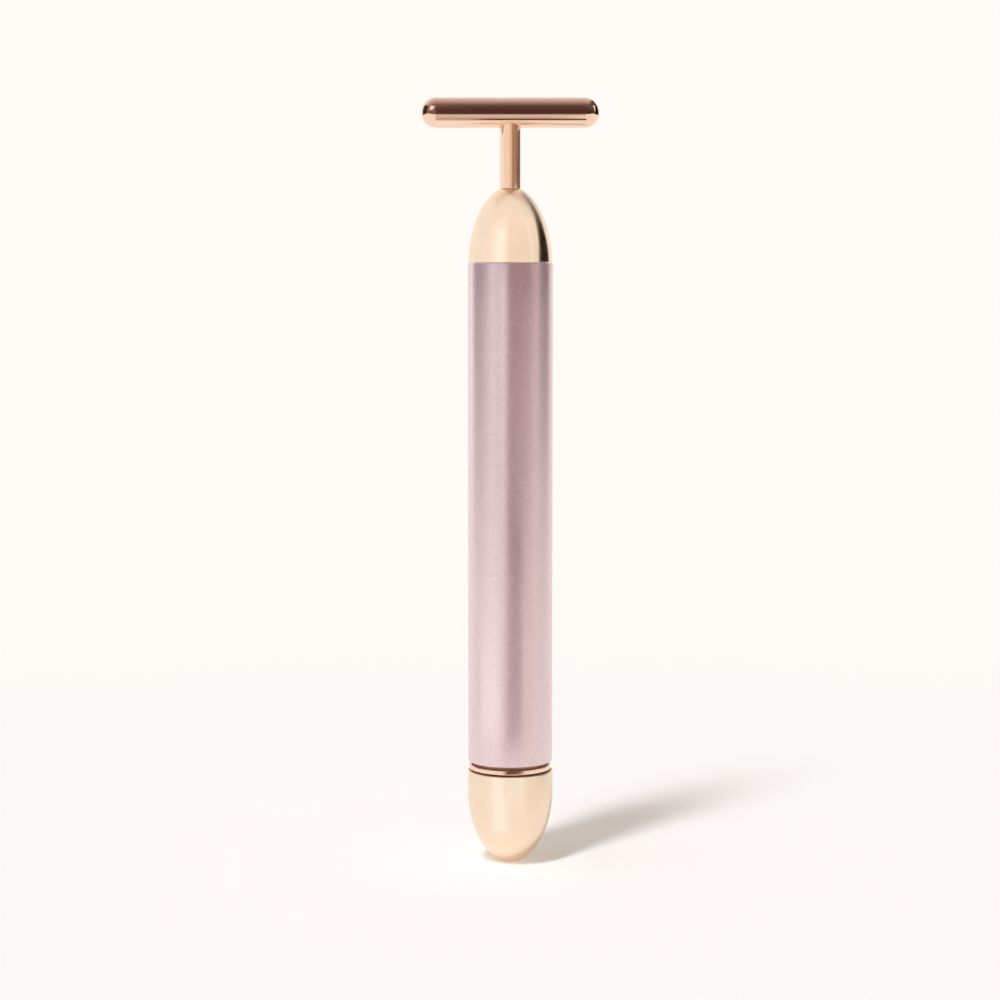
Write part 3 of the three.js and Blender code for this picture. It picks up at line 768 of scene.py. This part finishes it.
def makeFloor():
    clearSelection()
    bpy.ops.mesh.primitive_plane_add(size=floorLook["size"])
    floor = named(bpy.context.active_object, "floor")
    material = plainMaterial("floor_paper")
    paint = addNode(material, "ShaderNodeBsdfDiffuse", Color=(*floorLook["paint"], 1))
    glow = addNode(material, "ShaderNodeEmission", Color=(*floorLook["glow"], 1))
    near = addNode(material, "ShaderNodeAddShader")
    link(material, paint.outputs[0], near.inputs[0])
    link(material, glow.outputs[0], near.inputs[1])
    far = addNode(material, "ShaderNodeEmission", Color=(*backdrop, 1))
    length = addNode(material, "ShaderNodeVectorMath", operation="LENGTH")
    link(material, addNode(material, "ShaderNodeTexCoord").outputs["Object"], length.inputs[0])
    fade = spread(material, length.outputs["Value"], 0, 1, floorLook["fadeFrom"], floorLook["fadeTo"])
    seen = mixShaders(material, fade, near.outputs[0], far.outputs[0])
    bounce = (floorLook["bounce"] * c for c in backdrop)
    plain = addNode(material, "ShaderNodeBsdfDiffuse", Color=(*bounce, 1))
    showShader(material, "Material Output",
               mixShaders(material, raysThatShowBackdrop(material), plain.outputs[0], seen))
    dress(floor, material)


# The room that the metal mirrors, whose papers lie just above the floor. A pane's corners go round in order.

roomLeft, roomRight, roomFront, roomRoof, paper = -2.2, 1.0, -0.515, 0.9, 0.001


def frontPane(fromX, toX, y, low, high):
    return (fromX, y, low), (toX, y, low), (toX, y, high), (fromX, y, high)


def sidePane(x, fromY, toY, low, high):
    return (x, fromY, low), (x, toY, low), (x, toY, high), (x, fromY, high)


def levelPane(fromX, toX, fromY, toY, z):
    return (fromX, fromY, z), (toX, fromY, z), (toX, toY, z), (fromX, toY, z)


def even(shade):
    # one shade from end to end
    return (0.0, shade), (1.0, shade)


# A card with shades is a flat shape that only metal mirrors. Its shades lie along one way, each with the
# place where it is met. The fills are lamps of its shape, lifted off it, each for one piece alone.
cardLift = 0.01
groups = {"bar": "bar_body", "neck": "neck_pin", "head": "head_shell", "tube": "barrel_shell",
          "tail": "tail_bullet"}
cards = {
    "front_card": {
        "corners": frontPane(-0.06, 0.17, roomFront, 0, roomRoof), "way": "Z",
        "shades": ((0.28, (0.088, 0.037, 0.033)), (0.434, (0.104, 0.053, 0.047)),
                   (0.664, (0.127, 0.069, 0.065)), (0.9, (0.18, 0.115, 0.105))),
        "fills": {"neck": (0.70, 0.58, 0.42), "head": (0.85, 0.86, 0.84), "tube": (0.22, 0.13, 0.14),
                  "tail": (0.86, 0.86, 0.86)}},
    "front_left_card": {
        "corners": frontPane(roomLeft, -0.06, roomFront, 0, roomRoof), "way": "Z",
        "shades": ((0.1, (0.20, 0.13, 0.11)), (0.9, (0.26, 0.18, 0.16))),
        "fills": {"neck": (0.75, 0.72, 0.66), "head": (0.78, 0.82, 0.84), "tube": (0.26, 0.26, 0.27),
                  "tail": (0.74, 0.78, 0.80)}},
    "front_right_card": {
        "corners": frontPane(0.17, roomRight, roomFront, 0, roomRoof), "way": "Z",
        "shades": ((0.1, (0.06, 0.030, 0.022)), (0.9, (0.16, 0.10, 0.09))),
        "fills": {"neck": (0.36, 0.25, 0.17), "head": (0.83, 0.84, 0.82), "tube": (0.26, 0.17, 0.20),
                  "tail": (0.73, 0.72, 0.70)}},
    "right_card": {
        "corners": sidePane(roomRight, roomFront, -0.12, 0, roomRoof), "way": "Z",
        "shades": ((0.1, (0.06, 0.030, 0.022)), (0.9, (0.16, 0.10, 0.09))),
        "fills": {"neck": (0.22, 0.15, 0.12), "head": (0.83, 0.84, 0.82), "tube": (0.56, 0.43, 0.45),
                  "tail": (0.74, 0.73, 0.72)}},
    "right_flag": {
        "corners": ((1.0, -0.10, 0), (1.0, 0.87, 0), (1.0, 0.82, 0.45), (1.0, 1.0, 0.88), (1.0, 0.29, 0.88),
                    (1.0, 0.20, 0.68), (1.0, 0.09, 0.53), (1.0, 0.02, 0.40), (1.0, -0.08, 0.23)),
        "shades": even((0.010, 0.004, 0.001))},
    "roof_flag": {
        "corners": ((1.0, 0.28, 0.88), (1.0, 1.0, 0.88), (0.77, 0.84, 0.88), (0.52, 0.85, 0.88),
                    (0.35, 0.44, 0.88), (0.47, 0.345, 0.88), (0.61, 0.30, 0.88), (0.80, 0.30, 0.88)),
        "shades": even((0.010, 0.004, 0.001))},
    "right_roof_card": {
        "corners": levelPane(0.40, roomRight, roomFront, 0.28, 0.885), "way": "X",
        "shades": ((0.4, (0.20, 0.15, 0.12)), (0.6, (0.12, 0.09, 0.06)), (1.0, (0.12, 0.09, 0.06))),
        "fills": {"head": (0.74, 0.80, 0.82)}},
    "left_card": {
        "corners": sidePane(-1.0, -0.235, 0.70, 0, roomRoof), "shades": even((0.05, 0.028, 0.022)),
        "fills": {"neck": (0.95, 0.97, 1.0), "head": (0.90, 0.94, 0.96), "tube": (0.27, 0.24, 0.26),
                  "tail": (0.88, 0.90, 0.92)}},
    "top_card": {
        "corners": levelPane(roomLeft, roomRight, roomFront, 0.75, roomRoof), "way": "Y",
        "shades": ((-0.515, (0.18, 0.115, 0.105)), (-0.39, (0.237, 0.156, 0.149)),
                   (-0.12, (0.45, 0.35, 0.335)), (0.19, (0.635, 0.574, 0.596)), (0.75, (0.87, 0.88, 0.92))),
        "fills": {"tube": (0.45, 0.50, 0.50)}},
    "floor_card": {
        "corners": levelPane(-0.030, 0.024, -0.183, -0.073, paper), "shades": even((0.55, 0.45, 0.38))},
    "far_floor_card": {
        "corners": levelPane(-0.06, 0.06, roomFront, -0.183, paper), "way": "Y",
        "shades": ((-0.515, (0.54, 0.474, 0.46)), (-0.244, (0.715, 0.645, 0.63)),
                   (-0.19, (0.74, 0.66, 0.65)))},
    "low_card": {
        "corners": frontPane(-0.009, 0.05, -0.08, 0, 0.055), "way": "Z",
        "shades": ((0.0, (0.10, 0.04, 0.03)), (0.06, (0.10, 0.045, 0.035))),
        "fills": {"tail": (0.84, 0.90, 0.92), "tube": (0.38, 0.35, 0.37)}},
    "right_floor_card": {
        "corners": levelPane(0.024, 0.35, -0.30, 0.0, paper), "shades": even((0.97, 0.91, 0.84))},
    "flag_edge": {
        "corners": sidePane(roomRight, 0.55, 0.87, 0, 0.4), "fills": {"tube": (0.35, 0.28, 0.28)}},
    "tube_low": {
        "corners": ((-0.147, -0.017, 0.002), (-0.066, -0.132, 0.002), (-0.066, -0.132, 0.024),
                    (-0.147, -0.017, 0.024)),
        "fills": {"tube": (0.38, 0.40, 0.40)}, "lift": 0.0},
    "ring_card": {
        "corners": frontPane(-0.016, 0.07, -0.079, 0, 0.006), "shades": even((0.11, 0.035, 0.02))},
    "tail_peak": {
        "corners": ((-0.0573, -0.0375, 0), (0.0009, -0.0685, 0), (-0.0319, -0.1303, 0),
                    (-0.0901, -0.0993, 0)),
        "fills": {"tail": (0.26, 0.36, 0.48)}, "lift": 0.0015},
    "tail_near_peak": {
        "corners": ((-0.0265, -0.0199, 0), (-0.0017, -0.0331, 0), (-0.0136, -0.0554, 0),
                    (-0.0384, -0.0422, 0)),
        "fills": {"tail": (0.19, 0.26, 0.34)}, "lift": 0.0015},
    "tail_foot_peak": {
        "corners": ((-0.0114, -0.0087, 0), (-0.0008, -0.0143, 0), (-0.0083, -0.0284, 0),
                    (-0.0189, -0.0228, 0)),
        "fills": {"tail": (0.08, 0.18, 0.22)}, "lift": 0.0012},
    "head_roof_front": {
        "corners": levelPane(roomLeft, roomRight, -0.4985, -0.14, roomRoof),
        "fills": {"head": (0.66, 0.74, 0.74)}},
    "head_roof": {
        "corners": levelPane(-1.0, 1.0, -0.14, 0.2, roomRoof), "fills": {"head": (0.42, 0.50, 0.50)}},
    "head_roof_back": {
        "corners": levelPane(-1.0, 1.0, 0.2, 0.75, roomRoof), "fills": {"head": (0.22, 0.25, 0.25)}},
}


def cardMaterial(name, way, shades):
    material = plainMaterial(name)
    glow = addNode(material, "ShaderNodeEmission")
    ramp = addNode(material, "ShaderNodeValToRGB")
    low, high = shades[0][0], shades[-1][0]
    for place, shade in shades[1:-1]:
        ramp.color_ramp.elements.new((place - low) / (high - low))
    for element, (place, shade) in zip(ramp.color_ramp.elements, shades):
        element.color = (*shade, 1)
    axes = splitAxes(material, addNode(material, "ShaderNodeTexCoord").outputs["Object"])
    link(material, spread(material, axes[way], 0, 1, low, high), ramp.inputs[0])
    link(material, ramp.outputs["Color"], glow.inputs["Color"])
    showShader(material, "Material Output", glow.outputs[0])
    return material


def makePane(name, card, corners):
    clearSelection()
    bpy.ops.mesh.primitive_circle_add(vertices=len(corners), fill_type="NGON")
    pane = named(bpy.context.active_object, name)
    for vert, corner in zip(pane.data.vertices, corners):
        vert.co = corner
    dress(pane, cardMaterial(name, card.get("way", "Z"), card["shades"]))
    pane.visible_camera = False
    pane.visible_diffuse = False
    pane.visible_shadow = False


def receivers(group):
    # the collection that holds the group's piece, made when it is first asked for
    if group not in bpy.data.collections:
        collection = bpy.data.collections.new(group)
        collection.objects.link(bpy.data.objects[groups[group]])
    return bpy.data.collections[group]


def softBox(name, middle, across, up, glow, group):
    # a rectangular lamp of the given glow that faces the object and lights one piece
    outwards = across.cross(up).normalized()
    if outwards.dot(middle - aim) < 0:
        across, outwards = -across, -outwards
    clearSelection()
    bpy.ops.object.light_add(type="AREA", location=middle)
    lamp = named(bpy.context.active_object, name)
    lamp.rotation_mode = "QUATERNION"
    axes = Matrix((across.normalized(), up.normalized(), outwards)).transposed()
    lamp.rotation_quaternion = axes.to_quaternion()
    lamp.data.shape = "RECTANGLE"
    lamp.data.size, lamp.data.size_y = across.length, up.length
    strength = max(glow)
    lamp.data.energy = strength * math.pi * across.length * up.length
    lamp.data.color = [c / strength for c in glow]
    lamp.visible_camera = False
    lamp.light_linking.receiver_collection = receivers(group)


def makeCards():
    for name, card in cards.items():
        corners = [Vector(c) for c in card["corners"]]
        if "shades" in card:
            makePane(name, card, corners)
        across, up = corners[1] - corners[0], corners[-1] - corners[0]
        middle = corners[0] + (across + up) / 2
        inwards = across.cross(up).normalized()
        if inwards.dot(middle - aim) > 0:
            inwards = -inwards
        lifted = middle + inwards * card.get("lift", cardLift)
        for group, glow in card.get("fills", {}).items():
            softBox(name + "_" + group, lifted, across, up, glow, group)


# Soft boxes: where each stands, its size and its glow, and the pieces that it lights
boxes = {
    "bar_spot": {"azimuth": -39, "elevation": 35, "distance": 0.62, "width": 0.33, "height": 0.33,
                 "glow": (0.75, 0.75, 0.80), "groups": ("bar",)},
    "neck_edge": {"azimuth": 104, "elevation": 10, "distance": 0.8, "width": 0.4, "height": 0.5,
                  "glow": (0.20, 0.13, 0.11), "groups": ("neck",)},
    "wide_sheen": {"azimuth": -31, "elevation": 5, "distance": 0.50, "width": 0.50, "height": 0.6,
                   "glow": (0.07, 0.075, 0.08), "groups": ("head", "tail")},
    "sheen": {"azimuth": -30, "elevation": 5, "distance": 0.49, "width": 0.30, "height": 0.6,
              "glow": (0.07, 0.075, 0.08), "groups": ("head", "tail")},
    "narrow_sheen": {"azimuth": -29, "elevation": 5, "distance": 0.48, "width": 0.15, "height": 0.6,
                     "glow": (0.07, 0.08, 0.09), "groups": ("head", "tail")},
    "tube_sheen": {"azimuth": -41, "elevation": 4, "distance": 0.60, "width": 0.42, "height": 0.7,
                   "glow": (0.36, 0.37, 0.38), "groups": ("tube",)},
    "tube_peak": {"azimuth": -19, "elevation": 4, "distance": 0.52, "width": 0.13, "height": 0.18,
                  "glow": (0.82, 0.82, 0.83), "groups": ("tube",)},
    "tube_back_left": {"azimuth": -124, "elevation": 5, "distance": 0.60, "width": 0.16, "height": 0.22,
                       "glow": (0.50, 0.48, 0.48), "groups": ("tube",)},
    "tube_right": {"azimuth": 102, "elevation": 5, "distance": 0.60, "width": 0.30, "height": 0.22,
                   "glow": (0.20, 0.15, 0.15), "groups": ("tube",)},
}


def directionTo(azimuth, elevation):
    azimuth, elevation = math.radians(azimuth), math.radians(elevation)
    return Vector((math.sin(azimuth) * math.cos(elevation), -math.cos(azimuth) * math.cos(elevation),
                   math.sin(elevation)))


def makeBoxes():
    for name, box in boxes.items():
        away = directionTo(box["azimuth"], box["elevation"])
        across = directionTo(box["azimuth"] + 90, 0) * box["width"]
        up = across.normalized().cross(-away) * box["height"]
        for group in box["groups"]:
            softBox(name + "_" + group, aim + away * box["distance"], across, up, box["glow"], group)


# Suns: the key is a row of them over one another, each with its elevation and strength. They cast the shadow
# and its faint rim, and the metal doesn't mirror them.
suns = {
    "key_sun": {"azimuth": -35.2, "angle": 6.5, "colour": (0.93, 0.95, 1.0),
                "row": ((71, 0.43), (66.5, 0.43), (62, 0.41), (57.5, 0.31), (53, 0.20))},
    "wide_sun": {"azimuth": -70, "angle": 70, "colour": (0.93, 0.95, 1.0), "row": ((50, 0.42),)},
}


def makeSuns():
    for name, look in suns.items():
        for elevation, strength in look["row"]:
            away = directionTo(look["azimuth"], elevation)
            clearSelection()
            bpy.ops.object.light_add(type="SUN", location=aim + away)
            lamp = named(bpy.context.active_object, name)
            lamp.rotation_mode = "QUATERNION"
            lamp.rotation_quaternion = (-away).to_track_quat("-Z", "Y")
            lamp.data.energy = strength
            lamp.data.angle = math.radians(look["angle"])
            lamp.data.color = look["colour"]
            lamp.visible_glossy = False


# Camera: its lens and sensor in millimetres, and how many degrees it looks down
view = {"lens": 88, "sensor": 36, "clipStart": 0.01, "away": 484.2 * mm, "height": 119.8 * mm,
        "left": 2.04 * mm, "pitch": 5.55}


def makeCamera():
    bpy.ops.object.camera_add(location=(-view["left"], -view["away"], view["height"]),
                              rotation=(math.radians(90 - view["pitch"]), 0, 0))
    camera = named(bpy.context.active_object, "camera")
    camera.data.lens = view["lens"]
    camera.data.sensor_width = view["sensor"]
    camera.data.clip_start = view["clipStart"]
    bpy.context.scene.camera = camera


makeWorld()
makeFloor()
makeCards()
makeBoxes()
makeSuns()
makeCamera()
bpy.context.scene.view_settings.view_transform = "Standard"
print("studio ready")
